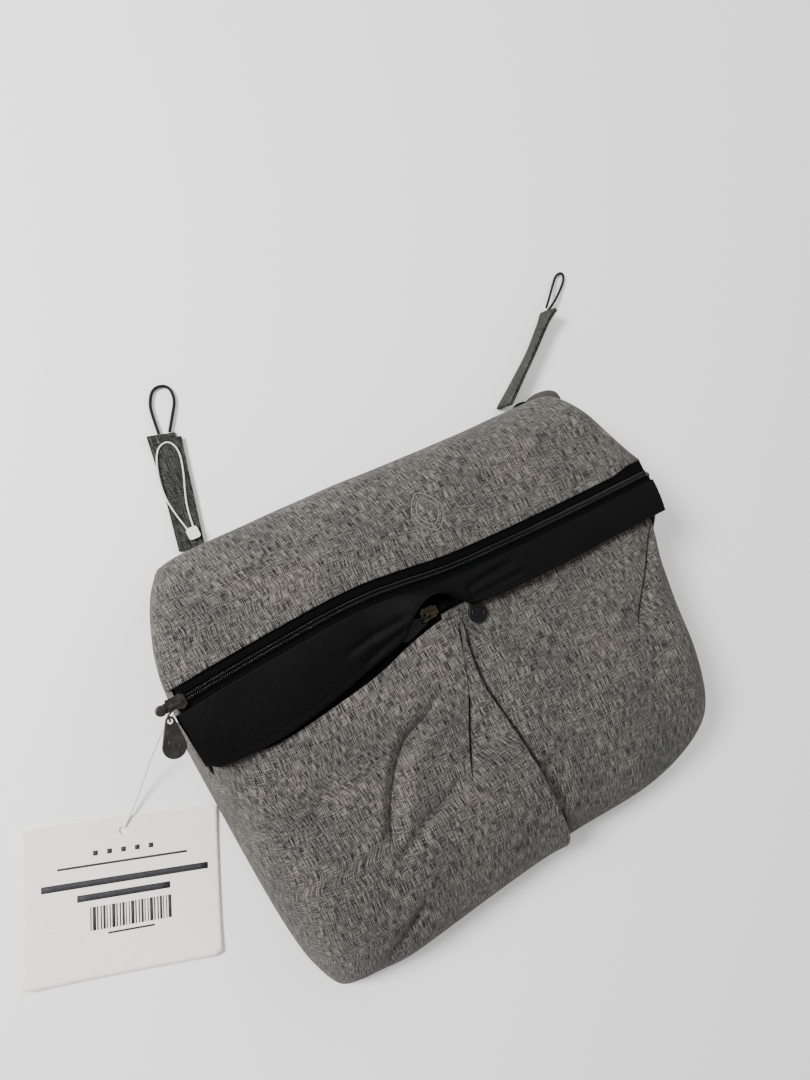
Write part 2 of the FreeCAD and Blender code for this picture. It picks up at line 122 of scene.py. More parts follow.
class Shader:
    """A small helper that wires nodes into one Principled material."""

    def __init__(self, name, roughness, **uniform):
        self.material = bpy.data.materials.new(name)
        self.material.use_nodes = True
        self.tree = self.material.node_tree
        self.surface = self.tree.nodes["Principled BSDF"]
        self.surface.inputs["Roughness"].default_value = roughness
        for socket, value in uniform.items():
            self.surface.inputs[socket.replace("_", " ")].default_value = value

    def node(self, kind, **settings):
        node = self.tree.nodes.new(kind)
        for key, value in settings.items():
            if hasattr(node, key):
                setattr(node, key, value)
            else:
                node.inputs[key.replace("_", " ")].default_value = value
        return node

    def join(self, source, target):
        self.tree.links.new(source, target)

    def coordinates(self, kind, scale):
        """Cloth coordinates in metres from a mesh's own map, or the part's own frame."""
        if kind == "cloth":
            source = self.node("ShaderNodeUVMap", uv_map="cloth").outputs["UV"]
        else:
            source = self.node("ShaderNodeTexCoord").outputs["Object"]
        mapping = self.node("ShaderNodeMapping")
        mapping.inputs["Scale"].default_value = scale
        self.join(source, mapping.inputs["Vector"])
        return mapping.outputs["Vector"]

    def noise(self, kind, scale, detail=2.0, roughness=0.5):
        noise = self.node("ShaderNodeTexNoise", Detail=detail, Scale=1.0, Roughness=roughness)
        self.join(self.coordinates(kind, scale), noise.inputs["Vector"])
        return noise.outputs["Fac"]

    def math(self, operation, first, second=0.0, third=0.0):
        node = self.node("ShaderNodeMath")
        node.operation = operation
        for socket, value in zip(node.inputs, (first, second, third)):
            if isinstance(value, (int, float)):
                socket.default_value = value
            else:
                self.join(value, socket)
        return node.outputs[0]

    def ramp(self, factor, stops):
        """Colours at positions 0 to 1."""
        node = self.node("ShaderNodeValToRGB")
        elements = node.color_ramp.elements
        while len(elements) < len(stops):
            elements.new(0.5)
        for element, (place, colour) in zip(elements, stops):
            element.position = place
            element.color = colour
        self.join(factor, node.inputs["Fac"])
        return node.outputs["Color"]

    def mix(self, factor, first, second, blend):
        node = self.node("ShaderNodeMix", data_type="RGBA", blend_type=blend)
        for socket, value in ((node.inputs[0], factor), (node.inputs[6], first), (node.inputs[7], second)):
            if isinstance(value, (int, float, tuple)):
                socket.default_value = value
            else:
                self.join(value, socket)
        return node.outputs[2]

    def weave(self, kind, pitch):
        """Height of a plain weave: threads over and under each other, pitch in metres."""
        split = self.node("ShaderNodeSeparateXYZ")
        turns = math.pi / pitch
        self.join(self.coordinates(kind, (turns, turns, turns)), split.inputs[0])
        across = self.math("SINE", split.outputs[0])
        along = self.math("SINE", split.outputs[1])
        return self.math("MULTIPLY", across, along)

    def colour(self, value):
        self.join(value, self.surface.inputs["Base Color"])

    def bump(self, height, distance, strength):
        node = self.node("ShaderNodeBump", Strength=strength, Distance=distance)
        self.join(height, node.inputs["Height"])
        self.join(node.outputs["Normal"], self.surface.inputs["Normal"])


def between_tones(dark, light, share):
    """The colour a share of the way from dark to light."""
    return tuple(d + (l - d) * share for d, l in zip(dark, light))


def melange_cloth(name, dark, light, tint, contrast):
    """Salt-and-pepper woven cloth: streaks of dark and light thread in both directions over a weave."""
    cloth = Shader(name, 0.88, Sheen_Weight=0.04, Sheen_Roughness=0.5, Specular_IOR_Level=0.2)
    dark, light = linear(*dark), linear(*light)
    warp = cloth.noise("cloth", (1700.0, 100.0, 1.0), 1.0)
    weft = cloth.noise("cloth", (150.0, 1600.0, 1.0), 1.0)
    grain = cloth.noise("cloth", (1900.0, 1500.0, 1.0), 1.0)
    threads = cloth.math("ADD", cloth.math("MULTIPLY", warp, 0.45), cloth.math("MULTIPLY", weft, 0.3))
    threads = cloth.math("ADD", threads, cloth.math("MULTIPLY", grain, 0.25))
    fibres = cloth.ramp(threads, [(0.5 - contrast, dark), (0.5, between_tones(dark, light, 0.3)),
                                  (0.5 + contrast, light)])
    patches = cloth.noise("cloth", (22.0, 16.0, 1.0), 3.0, 0.6)
    shade = cloth.ramp(patches, [(0.4, (0.74, 0.79, 0.77, 1.0)), (0.6, tint)])
    cloth.colour(cloth.mix(1.0, fibres, shade, "MULTIPLY"))
    height = cloth.math("ADD", cloth.math("MULTIPLY", cloth.weave("cloth", 0.0007), 0.4), threads)
    cloth.bump(height, 0.0003, 0.9)
    rough = cloth.math("MULTIPLY_ADD", warp, 0.2, 0.78)
    cloth.join(rough, cloth.surface.inputs["Roughness"])
    return cloth.material


def nylon(name, colour, sheen_and_streak):
    """Plain-woven nylon: a fine grid of threads, with a faint sheen painted into its colour on the threads'
    crests.
    """
    cloth = Shader(name, 0.6, Specular_IOR_Level=0.09)
    weave = cloth.weave("cloth", 0.00055)
    streak = cloth.noise("cloth", (1300.0, 240.0, 1.0), 2.0)
    tone = cloth.math("MULTIPLY_ADD", weave, 0.35, streak)
    # colour follows the weave's height: painted sheen on the crests and painted shade in the hollows, with
    # streaks of tone that vary at random
    cloth.colour(cloth.ramp(tone, [(0.25, linear(*colour)), (0.85, linear(*sheen_and_streak))]))
    cloth.bump(cloth.math("MULTIPLY_ADD", weave, 0.6, streak), 0.00018, 0.8)
    cloth.join(cloth.math("MULTIPLY_ADD", streak, 0.25, 0.42), cloth.surface.inputs["Roughness"])
    return cloth.material


def ribbed_tape(name):
    """Woven zip tape: fine ribs along its length."""
    tape = Shader(name, 0.7, Specular_IOR_Level=0.06)
    weave = tape.weave("cloth", 0.0007)
    fuzz = tape.noise("cloth", (900.0, 900.0, 1.0), 2.0)
    tape.colour(tape.ramp(fuzz, [(0.3, linear(0, 0, 0)), (0.8, linear(7, 8, 8))]))
    tape.bump(tape.math("MULTIPLY_ADD", weave, 0.5, fuzz), 0.0002, 0.7)
    return tape.material


def grained(name, colour, worn, scale, roughness, depth, **uniform):
    """A solid material whose colour and roughness vary with a fine grain."""
    body = Shader(name, roughness, **uniform)
    grain = body.noise("frame", (scale, scale, scale), 4.0, 0.6)
    body.colour(body.ramp(grain, [(0.35, linear(*colour)), (0.72, linear(*worn))]))
    body.join(body.math("MULTIPLY_ADD", grain, 0.25, roughness - 0.1), body.surface.inputs["Roughness"])
    body.bump(grain, depth, 0.5)
    return body.material


def twisted_cord(name, dark, light, pitch):
    """Braided cord: slanting strands that cross, in the part's own frame."""
    cord = Shader(name, 0.75, Sheen_Weight=0.03, Specular_IOR_Level=0.25)
    weave = cord.weave("frame", pitch)
    fuzz = cord.noise("frame", (1500.0, 1500.0, 1500.0), 2.0)
    height = cord.math("MULTIPLY_ADD", weave, 0.4, fuzz)
    # colour follows the same height as the bump: painted shade in the hollows between the strands and painted
    # highlight on their crests, over fuzz of tone that varies at random
    cord.colour(cord.ramp(height, [(0.2, linear(*dark)), (0.8, linear(*light))]))
    cord.bump(height, 0.00025, 0.8)
    return cord.material


GREY = melange_cloth("grey_melange", (2, 2, 2), (124, 120, 115), (1.03, 0.99, 0.975, 1.0), 0.095)
STRAP_GREY = melange_cloth("strap_melange", (1, 1, 1), (84, 84, 80), (1.0, 1.0, 0.985, 1.0), 0.1)
NYLON = nylon("black_nylon", (0, 0, 0), (12, 11, 14))
LINING = nylon("lining", (6, 6, 7), (22, 22, 24))
TAPE = ribbed_tape("zip_tape")
COIL = grained("zip_coil", (0, 0, 0), (2, 2, 2), 900.0, 0.2, 1e-5, Specular_IOR_Level=0.35)
GUNMETAL = grained("gunmetal", (58, 55, 52), (74, 71, 67), 220.0, 0.34, 1e-5, Metallic=0.95)
ENAMEL = grained("black_enamel", (2, 3, 4), (8, 9, 12), 300.0, 0.32, 1e-5, Specular_IOR_Level=0.25)
BRONZE = grained("aged_bronze", (62, 56, 42), (92, 84, 64), 320.0, 0.36, 1e-5, Metallic=0.9)
ELASTIC = twisted_cord("black_elastic", (3, 3, 3), (20, 20, 21), 0.0011)
STRING = twisted_cord("white_string", (196, 194, 190), (244, 243, 240), 0.0008)
PLASTIC = grained("white_plastic", (226, 225, 221), (242, 241, 238), 200.0, 0.4, 2e-5)
CARD = grained("card_paper", (244, 238, 224), (254, 250, 240), 700.0, 0.78, 3e-5)
INK = grained("ink", (34, 34, 38), (52, 52, 58), 500.0, 0.7, 1e-5)
BOARD = grained("stiff_board", (36, 36, 37), (58, 58, 60), 120.0, 0.6, 5e-5)
# the mark's cords are grey thread painted lighter than the cloth: a painted highlight along the edges of the
# pressed rings
MARK_HIGHLIGHT_THREAD = grained("mark_thread_painted_highlight", (92, 89, 83), (126, 122, 114), 1500.0, 0.8, 0.0001)


# ---- mesh helpers

def spline(points, count):
    """A smooth line through a few points, as evenly spaced points."""
    knots = np.array(points, float)
    ends = np.vstack([2 * knots[0] - knots[1], knots, 2 * knots[-1] - knots[-2]])
    fine = []
    steps = np.linspace(0.0, 1.0, 40, endpoint=False)[:, None]
    for before, start, end, after in zip(ends, ends[1:], ends[2:], ends[3:]):
        fine.append(start + 0.5 * steps * (end - before + steps * (2 * before - 5 * start + 4 * end - after
                                           + steps * (3 * (start - end) + after - before))))
    fine = np.vstack(fine + [knots[-1:]])
    return evenly(fine, count)


def evenly(line, count):
    """The same line with count points, evenly spaced along it."""
    runs = np.linalg.norm(np.diff(line, axis=0), axis=1)
    along = np.concatenate([[0.0], np.cumsum(runs)])
    places = np.linspace(0.0, along[-1], count)
    return np.stack([np.interp(places, along, line[:, i]) for i in range(line.shape[1])], axis=1)


def follow(points, at):
    """Value of a smooth line given as (place, value) points with rising places."""
    line = spline(points, 240)
    return np.interp(at, line[:, 0], line[:, 1])


def rise(value, low, high):
    """0 below low, 1 above high, smooth between."""
    t = np.clip((np.asarray(value, float) - low) / (high - low), 0.0, 1.0)
    return t * t * (3.0 - 2.0 * t)


def swell(distance, reach, power):
    """How far a stuffed cloth has risen at a distance from its seam: 0 at the seam, 1 at reach."""
    t = np.clip(distance / reach, 0.0, 1.0)
    return (1.0 - (1.0 - t) ** power) ** (1.0 / power)


def to_path(x, y, path):
    """Distance from points to a path in plan, positive on the path's left, and how far along it (0 to 1)."""
    line = spline(path, 60)
    best = np.full(x.shape, 1e9)
    side = np.ones(x.shape)
    along = np.zeros(x.shape)
    last = len(line) - 2
    for i, (a, b) in enumerate(zip(line, line[1:])):
        way = b - a
        t = np.clip(((x - a[0]) * way[0] + (y - a[1]) * way[1]) / (way @ way), 0.0, 1.0)
        dx, dy = x - a[0] - t * way[0], y - a[1] - t * way[1]
        gap = np.hypot(dx, dy)
        near = gap < best
        best = np.where(near, gap, best)
        side = np.where(near, np.sign(way[0] * dy - way[1] * dx), side)
        along = np.where(near, (i + t) / (last + 1), along)
    return best * side, along


def furrow(x, y, path, depth, width, lean=0.0, fade=(0.15, 0.7)):
    """A crease pressed into cloth along a path: a valley, with one bank raised by lean."""
    off, along = to_path(x, y, path)
    strength = rise(along, 0.0, fade[0]) * (1.0 - rise(along, fade[1], 1.0))
    valley = -depth * np.exp(-(off / width) ** 2)
    bank = lean * np.exp(-((off - 1.6 * width) / (1.5 * width)) ** 2)
    return (valley + bank) * strength


def undulate(x, y, size, seed):
    """Slow, uneven swelling of slack cloth, about -1 to 1, with features about size long."""
    total = 0.0
    for i in range(5):
        turn = seed * 1.7 + i * 2.399
        wave = 2 * math.pi / (size * (1.0 + 0.37 * i))
        total = total + np.sin((x * math.cos(turn) + y * math.sin(turn)) * wave + seed * (i + 1) * 1.3)
    return total / 3.2


def normals_of(points):
    """Unit normals of a grid of points."""
    down = np.gradient(points, axis=0)
    across = np.gradient(points, axis=1)
    normal = np.cross(down, across)
    return normal / np.maximum(np.linalg.norm(normal, axis=2, keepdims=True), 1e-9)


def cloth_map(points):
    """Cloth coordinates in metres for a grid: distances along its rows and its columns."""
    across = np.linalg.norm(np.diff(points, axis=1), axis=2)
    u = np.concatenate([np.zeros((len(points), 1)), np.cumsum(across, axis=1)], axis=1)
    middle = u.shape[1] // 2
    u = u - u[:, [middle]] + points[:, [middle], 0]
    down = np.linalg.norm(np.diff(points, axis=0), axis=2).mean(axis=1)
    v = np.concatenate([[0.0], np.cumsum(down)])
    return np.stack([u * MM, np.broadcast_to(v[:, None], u.shape) * MM], axis=2)


def quads(rows, columns, wrap):
    """Faces between the points of a grid, closed round each row where wrap is true."""
    faces = []
    for r in range(rows - 1):
        for c in range(columns if wrap else columns - 1):
            n = (c + 1) % columns
            faces.append((r * columns + c, (r + 1) * columns + c, (r + 1) * columns + n, r * columns + n))
    return faces


def add_piece(name, mesh, material):
    """A smooth-shaded object with one material, in the scene."""
    mesh.materials.append(material)
    mesh.shade_smooth()
    piece = bpy.data.objects.new(name, mesh)
    bpy.context.scene.collection.objects.link(piece)
    return piece


def grid_piece(name, points, material, thickness=0.0, offset=-1.0, wrap=False):
    """A sheet of quads through a grid of points in millimetres, thickened by a solidify modifier."""
    mesh = bpy.data.meshes.new(name)
    mesh.from_pydata((points.reshape(-1, 3) * MM).tolist(), [], quads(*points.shape[:2], wrap))
    layer = mesh.uv_layers.new(name="cloth")
    flat = cloth_map(points).reshape(-1, 2)
    index = np.empty(len(mesh.loops), np.int32)
    mesh.loops.foreach_get("vertex_index", index)
    layer.data.foreach_set("uv", flat[index].astype(np.float32).ravel())
    piece = add_piece(name, mesh, material)
    if thickness:
        solid = piece.modifiers.new("thickness", "SOLIDIFY")
        solid.thickness = thickness * MM
        solid.offset = offset
    return piece


def tube_mesh(name, path, radius, material, sides=6, profile=None):
    """A mesh tube along a path in millimetres, closed at both ends."""
    path = np.asarray(path, float)
    way = np.gradient(path, axis=0)
    way /= np.linalg.norm(way, axis=1, keepdims=True)
    side = np.cross(way, (0.0, 0.0, 1.0))
    side[np.linalg.norm(side, axis=1) < 0.05] = (1.0, 0.0, 0.0)
    side /= np.linalg.norm(side, axis=1, keepdims=True)
    lift = np.cross(side, way)
    width = np.full(len(path), radius) if profile is None else np.asarray(profile) * radius
    turns = np.linspace(0.0, 2 * math.pi, sides, endpoint=False)
    ring = (np.cos(turns)[None, :, None] * side[:, None, :] + np.sin(turns)[None, :, None] * lift[:, None, :])
    points = path[:, None, :] + ring * width[:, None, None]
    faces = quads(len(path), sides, True)
    faces.append(tuple(range(sides)))
    faces.append(tuple(range(len(path) * sides - sides, len(path) * sides))[::-1])
    mesh = bpy.data.meshes.new(name)
    mesh.from_pydata((points.reshape(-1, 3) * MM).tolist(), [], faces)
    return add_piece(name, mesh, material)


def assign(piece, body, slot, *nodes):
    """The body a piece rides, and the nodes it stands for, if any; the slot argument is not used."""
    if nodes:
        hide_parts(*nodes)
    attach(piece, body)


def settle(piece):
    """Apply a piece's modifiers, so that its mesh is final."""
    graph = bpy.context.evaluated_depsgraph_get()
    final = piece.evaluated_get(graph)
    mesh = bpy.data.meshes.new_from_object(final, preserve_all_data_layers=True, depsgraph=graph)
    piece.modifiers.clear()
    piece.data = mesh
    return piece


# ---- shape of the bag

LEFT_WIDTH = [(-174, 170), (-168, 183), (-160, 189.5), (-146, 195), (-128, 199.5), (-90, 204), (-20, 208.5),
              (30, 211.5), (76, 212), (92, 211), (118, 204.5), (146, 191.5), (163, 178), (172, 170)]
RIGHT_WIDTH = [(-174, 96), (-168, 140), (-158, 174), (-146, 189), (-128, 194.5), (-90, 197.5), (-20, 200),
               (30, 203.5), (76, 201.5), (96, 197.5), (118, 192), (142, 186), (163, 179), (172, 175)]
POCKET_HEIGHT = [(-174, 75), (-90, 76), (-45, 75), (-5, 71.8), (20, 69), (48, 68.4)]
SIDE_REACH = [(-174, 52), (-60, 48), (-10, 32), (22, 16), (50, 13)]
BOTTOM_REACH = 112.0
STUFFING = 2.3
CLOTH_T = 1.3
LINING_T = 0.6
HEM_STEPS = 5
POCKET_BOTTOM = -169.0
POCKET_TOP = 40.0
FINE_ROWS = 46.0
POCKET_LOWEST = 1.6
ZIP_LINE = [(-216, 75.2), (-204, 75.6), (-171, 78), (-133, 80.2), (-92, 82), (-62, 81.4), (-36, 78.6),
            (2, 73.6), (48, 71.4), (106, 70), (150, 69.6), (216, 69.4)]
SEAM_ABOVE_ZIP = 9.5
BAND_BELOW_ZIP = 7.0
POCKET_ZIP_LINE = [(-176, 26), (-140, 26.8), (-105, 31), (-70, 39.5), (-40, 47.5), (-20, 50), (20, 50),
                   (176, 50)]
LEFT_POCKET_TOP = [(-216, 62), (-203, 50), (-190, 28), (-172, 21), (-154, 19.5), (-121, 22), (-80, 27),
                   (-41, 36.5), (4, 43)]
RIGHT_POCKET_TOP = [(-30, 42), (10, 44), (216, 42)]
LEFT_BOTTOM = [(-205, -167), (-161, -169.5), (-142, -172), (-121, -173), (-60, -172), (-4, -172.4),
               (24, -176.5)]
RIGHT_BOTTOM = [(-30, -166.5), (33, -169), (100, -173.4), (158, -167.6), (205, -160)]
FOLD_LINE = [(-176, 16), (-150, 9), (-126, 3), (-92, -2), (-45, -9), (-15, -13), (10, -10), (50, -1)]
SLIT = [(-5, 36), (-13, 12), (-24, -16), (-43, -53), (-54, -78)]
SHARP_CREASE = [(-26, 6), (-59, -14), (-82, -22), (-98, -37), (-111, -55), (-123, -80)]
VEE_CREASE = [(-130, -92), (-114, -87), (-99, -79), (-68, -70), (-48, -58)]
SOFT_DENT = [(-136, -16), (-153, -30), (-168, -44)]
LOW_CREASE = [(-106, -120), (-130, -138), (-146, -147), (-166, -166)]
PLEAT_CREASE = [(-2, 36), (15, 12), (33, -13), (50, -40)]
DART = [(197, 36), (171, 4), (142, -26), (126, -46)]
RIGHT_DENT = [(10, -84), (12, -108), (18, -136)]
# Each crease: path, depth, width, height of its bank, and where along it it has risen and starts to fade.
LEFT_CREASES = (
    (SHARP_CREASE, 6.5, 6, 2.5, (0.4, 0.9)),
    (SHARP_CREASE, 2.4, 1.4, 0, (0.5, 0.95)),
    (VEE_CREASE, 4, 4.5, -1.5),
    (SOFT_DENT, 3.2, 8, 1),
    (LOW_CREASE, 7, 5, -3, (0.3, 0.98)),
    (SLIT, 6.5, 0.9, 0, (0.03, 0.75)),
    (SLIT, 1.6, 9, 0, (0.05, 0.9)),
)
RIGHT_CREASES = (
    (PLEAT_CREASE, 5, 2.6, 1.8, (0.02, 0.6)),
    (DART, 5, 1, 0, (0.02, 0.75)),
    (DART, 2, 8, -1, (0.05, 0.8)),
    (RIGHT_DENT, 5.5, 7),
)


def half_width(y, side):
    """Distance from the middle to the bag's side, on the left (side -1) or the right (side 1)."""
    return np.where(np.asarray(side) < 0, follow(LEFT_WIDTH, y), follow(RIGHT_WIDTH, y))


def spread(counts):
    """Places 0, 1, 2 ... with points between them, closer together beside each whole number."""
    places = []
    for i, count in enumerate(counts):
        t = np.linspace(0.0, 1.0, count, endpoint=False)
        places.append(i + t - 0.55 * np.sin(2 * math.pi * t) / (2 * math.pi))
    return np.concatenate(places + [[float(len(counts))]])


def between(stops, places):
    """Values at places among a list of arrays, one for each whole number."""
    table = np.stack(stops, axis=1)
    low = np.clip(places.astype(int), 0, len(stops) - 2)
    t = places - low
    return table[:, low] * (1 - t) + table[:, low + 1] * t


def curl(points, edge, radius, back):
    """The grid with one edge rolled under to a hem that runs back beneath it."""
    normal = normals_of(points)
    turn, turn_back = {
        "top": (lambda a: a, lambda a: a),
        "bottom": (lambda a: a[::-1], lambda a: a[::-1]),
        "right": (lambda a: a.transpose(1, 0, 2)[::-1], lambda a: a[::-1].transpose(1, 0, 2)),
    }[edge]
    grid, up = turn(points), turn(normal)[0]
    out = grid[0] - grid[2]
    out = out / np.maximum(np.linalg.norm(out, axis=1, keepdims=True), 1e-9)
    added = []
    for angle in np.linspace(0.0, math.pi, HEM_STEPS + 1)[1:]:
        added.append(grid[0] + out * radius * math.sin(angle) - up * radius * (1 - math.cos(angle)))
    added.append(grid[0] - out * back - up * radius * 2)
    return turn_back(np.concatenate([np.stack(added[::-1]), grid]))


def crossing(path, rows):
    """Where a falling path crosses each row."""
    x, y = np.array(path[::-1]).T
    return np.interp(rows, y, x)


def pocket_surface(side):
    """One half of the outer pocket, from the pleat round the side and the bottom to the back seam."""
    top_line = LEFT_POCKET_TOP if side < 0 else RIGHT_POCKET_TOP
    bottom_line = LEFT_BOTTOM if side < 0 else RIGHT_BOTTOM
    climb = np.linspace(0.0, math.pi / 2, 34)
    near_bottom = POCKET_BOTTOM + FINE_ROWS * (1 - np.cos(climb))
    rows = np.concatenate([near_bottom, np.linspace(POCKET_BOTTOM + FINE_ROWS, POCKET_TOP, 118)[1:]])[::-1]
    edge = half_width(rows, side)
    reach = follow(SIDE_REACH, rows) * 0.8
    fold = follow(FOLD_LINE, rows)
    climb = np.linspace(0.0, math.pi / 2, 20)
    if side < 0:
        sharp, slit = crossing(SHARP_CREASE, rows), crossing(SLIT, rows)
        sharp = np.minimum(sharp - 14.0 * rise(rows, 0.0, 30.0), slit - 12.0)
        stops = [-edge + reach, sharp, slit, fold]
        x = between(stops, spread([46, 44, 34]))
        wall = -edge[:, None] + reach[:, None] * (1 - np.cos(climb[None, :-1]))
        x = np.concatenate([wall, x], axis=1)
    else:
        dart = np.minimum(crossing(DART, rows), edge - reach - 2.0)
        x = between([fold - 12.0, fold + 8.0, dart, edge - reach], spread([14, 70, 34]))
        wall = edge[:, None] - reach[:, None] * (1 - np.cos(climb[None, :-1]))
        x = np.concatenate([x, wall[:, ::-1]], axis=1)
    y = np.broadcast_to(rows[:, None], x.shape).copy()
    y += (follow(top_line, x) - rows[0]) * rise(y, -50.0, rows[0])
    y += (follow(bottom_line, x) - POCKET_BOTTOM) * (1 - rise(y, POCKET_BOTTOM, -100.0))
    inward = edge[:, None] - np.abs(x)
    height = follow(POCKET_HEIGHT, y)
    from_bottom = y - follow(bottom_line, x)
    stuffed = swell(inward, follow(SIDE_REACH, y), STUFFING) * swell(from_bottom, BOTTOM_REACH, 2.2)
    relief = undulate(x, y, 120.0, 3) * 1.3 + undulate(x, y, 46.0, 8) * 0.45
    for crease in LEFT_CREASES if side < 0 else RIGHT_CREASES:
        relief += furrow(x, y, *crease)
    past_fold = x - follow(FOLD_LINE, y)
    if side < 0:
        relief += 3.2 * rise(past_fold, -26.0, -2.0)
    else:
        relief -= 3.0 * (1 - rise(past_fold, 3.0, 30.0)) + 4.0 * (1 - rise(past_fold, 1.5, 7.0))
    z = height * stuffed + relief * rise(stuffed, 0.15, 0.9) * rise(42.0 - y, 0.0, 26.0)
    return np.stack([x, y, np.maximum(z, POCKET_LOWEST)], axis=2)


def add_pocket(side):
    """One half of the outer pocket, hemmed along its top, and along the pleat on the left."""
    name = "pocket_cloth_left" if side < 0 else "pocket_cloth_right"
    points = curl(pocket_surface(side), "top", 1.2, 9.0)
    if side < 0:
        points = curl(points, "right", 1.5, 12.0)
    points[:, :, 2] = np.maximum(points[:, :, 2], POCKET_LOWEST)
    piece = settle(grid_piece(name, points, GREY, CLOTH_T, -1.0))
    nodes = ("front_pocket_left", "pleat_underlay") if side < 0 else ("front_pocket_right", "bottom_panel")
    assign(piece, "bag", "grey_cloth", *nodes)


LID_PROFILE = [(161, 2.6), (164.4, 11), (166.2, 24), (165, 38), (157, 53.8), (135.5, 70.8), (108, 79),
               (88, 80.6)]
LID_NOMINAL_SEAM = 88.0
LID_REACH = 24.0
CUT_LOW = 25.0
CUT_SLOPE = 0.652
LID_CREASES = (
    ([(-158, 112), (-112, 124), (-56, 128)], 2.2, 10),
    ([(150, 128), (168, 112), (184, 90)], 1.8, 6),
    ([(-196, 128), (-186, 112), (-182, 96)], 1.6, 5),
)
MARK_AT = (7.5, 117.5)
MARK_HALF = (12.5, 15.5)
MARK_RINGS = {"mark_cord_outer": 1, "mark_cord_inner": 0.7}
MARK_POWER = 1.5
MARK_DEPTH = 1.7
MARK_GROOVE = 1.2
MARK_CORD_R = 0.5


def cut_height(y):
    """Height of the slanting cut where the lid's ends meet the sides of the bag."""
    return CUT_LOW + (163.0 - y) * CUT_SLOPE


def mark(x, y):
    """A plain pressed mark: grooves along two nested lozenges with rounded corners."""
    across, along = np.abs(x - MARK_AT[0]), np.abs(y - MARK_AT[1])
    size = ((across / MARK_HALF[0]) ** MARK_POWER + (along / MARK_HALF[1]) ** MARK_POWER) ** (1 / MARK_POWER)
    return -MARK_DEPTH * sum(np.exp(-((size - ring) * MARK_HALF[0] / MARK_GROOVE) ** 2)
                             for ring in MARK_RINGS.values())


def add_mark(points):
    """Cords sewn into the pressed lozenges of the lid, whose surface is the grid of points."""
    turns = np.linspace(0.0, 2 * math.pi, 97)
    power = 2 / MARK_POWER
    for name, ring in MARK_RINGS.items():
        across = np.sign(np.cos(turns)) * np.abs(np.cos(turns)) ** power * MARK_HALF[0] * ring
        along = np.sign(np.sin(turns)) * np.abs(np.sin(turns)) ** power * MARK_HALF[1] * ring
        path = []
        for x, y in evenly(np.stack([MARK_AT[0] + across, MARK_AT[1] + along], axis=1), 81):
            gap = np.hypot(points[:, :, 0] - x, points[:, :, 1] - y)
            gap[points[:, :, 2] < 50.0] = 1e9
            near = points[np.unravel_index(np.argmin(gap), gap.shape)]
            path.append((x, y, near[2] + 0.2))
        path = np.array(path)
        path[:, 2] = np.convolve(np.pad(path[:, 2], 3, "wrap"), np.ones(7) / 7, "valid")
        # the cords take the lighter thread colour, a painted highlight on the mark's ring edges
        assign(tube_mesh(name, path, MARK_CORD_R, MARK_HIGHLIGHT_THREAD), "lid", "grey_cloth")


def lid_surface():
    """The lid's cloth from the back seam over the top edge to the zip, in rows that are closest at the mark."""
    chosen = np.concatenate([np.arange(0, 320, 8), np.arange(320, 560, 6), np.arange(560, 780, 2),
                             np.arange(780, 900, 6)])
    share = chosen / 899.0
    y0, z0 = spline(LID_PROFILE, 900)[chosen].T
    left, right = half_width(y0, -1), half_width(y0, 1)
    climb = np.linspace(0.0, math.pi / 2, 18)[:-1]
    wall = LID_REACH * (1 - np.cos(climb))
    centre = np.broadcast_to(np.array([-4.0, 24.0]), (len(y0), 2))
    x = between([LID_REACH - left, centre[:, 0], centre[:, 1], right - LID_REACH], np.concatenate([
        np.linspace(0.0, 1.0, 64, endpoint=False), np.linspace(1.0, 2.0, 64, endpoint=False),
        np.linspace(2.0, 3.0, 61)]))
    x = np.concatenate([wall - left[:, None], x, (right[:, None] - wall)[:, ::-1]], axis=1)
    inward = np.where(x < 0, left[:, None], right[:, None]) - np.abs(x)
    stuffed = swell(inward, LID_REACH, STUFFING)
    y = np.broadcast_to(y0[:, None], x.shape).copy()
    behind = np.maximum(y - 162.0, 0.0)
    y -= behind * (1 - swell(inward, 30.0, 2.0))
    seam = follow(ZIP_LINE, x) + SEAM_ABOVE_ZIP + 2.8 * rise(x, 164.0, 188.0)
    y += (seam - LID_NOMINAL_SEAM) * rise(share[:, None], 0.62, 1.0)
    wall_high = np.maximum(z0[:, None] - np.maximum(cut_height(y), CUT_LOW), 0.0)
    z = z0[:, None] - wall_high * (1 - stuffed)
    inside = rise(stuffed, 0.3, 0.95)
    relief = undulate(x, y, 130.0, 5) * 1.3 + undulate(x, y, 50.0, 2) * 0.35
    for crease in LID_CREASES:
        relief += furrow(x, y, *crease)
    settled = rise(share[:, None], 0.08, 0.3) * (1 - rise(share[:, None], 0.93, 1.0))
    points = np.stack([x, y, z], axis=2)
    lift = relief * inside * settled + mark(x, y) * rise(share[:, None], 0.5, 0.6)
    return points + normals_of(points) * lift[:, :, None]


def add_lid():
    """The lid's cloth with its mark, hemmed along the zip and bending along the back seam."""
    points = lid_surface()
    piece = settle(grid_piece("lid_cloth", curl(points, "bottom", 1.0, 8.0), GREY, CLOTH_T, -1.0))
    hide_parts("lid_panel", "top_panel", "lid_left_end", "lid_right_end")
    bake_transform(piece)
    add_mark(points)


BAND_EDGE = [(-214, 27), (-185, 24.5), (-157, 23.5), (-121, 28), (-85, 35), (-57, 41), (-46, 47), (-33, 59),
             (-22, 63), (-12, 58), (1, 46.5), (16, 41), (60, 37.5), (130, 36), (214, 35)]
BAND_LIFT = [(-216, 0), (-86, 0), (-70, 0.12), (-58, 0.34), (-48, 0.5), (-34, 0.85), (-22, 1), (-10, 0.7),
             (6, 0.3), (24, 0), (216, 0)]
BAND_TOP_Z = 79.2
BAND_LOW_Z = 74.2
BAND_CREASES = (
    ([(-40, 56), (-70, 55), (-104, 50)], 1.6, 3),
    ([(-44, 50), (-66, 45), (-92, 38)], 1.4, 2.6),
    ([(2, 52), (26, 55), (58, 56)], 1.5, 3),
    ([(4, 47), (30, 46), (64, 46)], 1, 2.4),
)


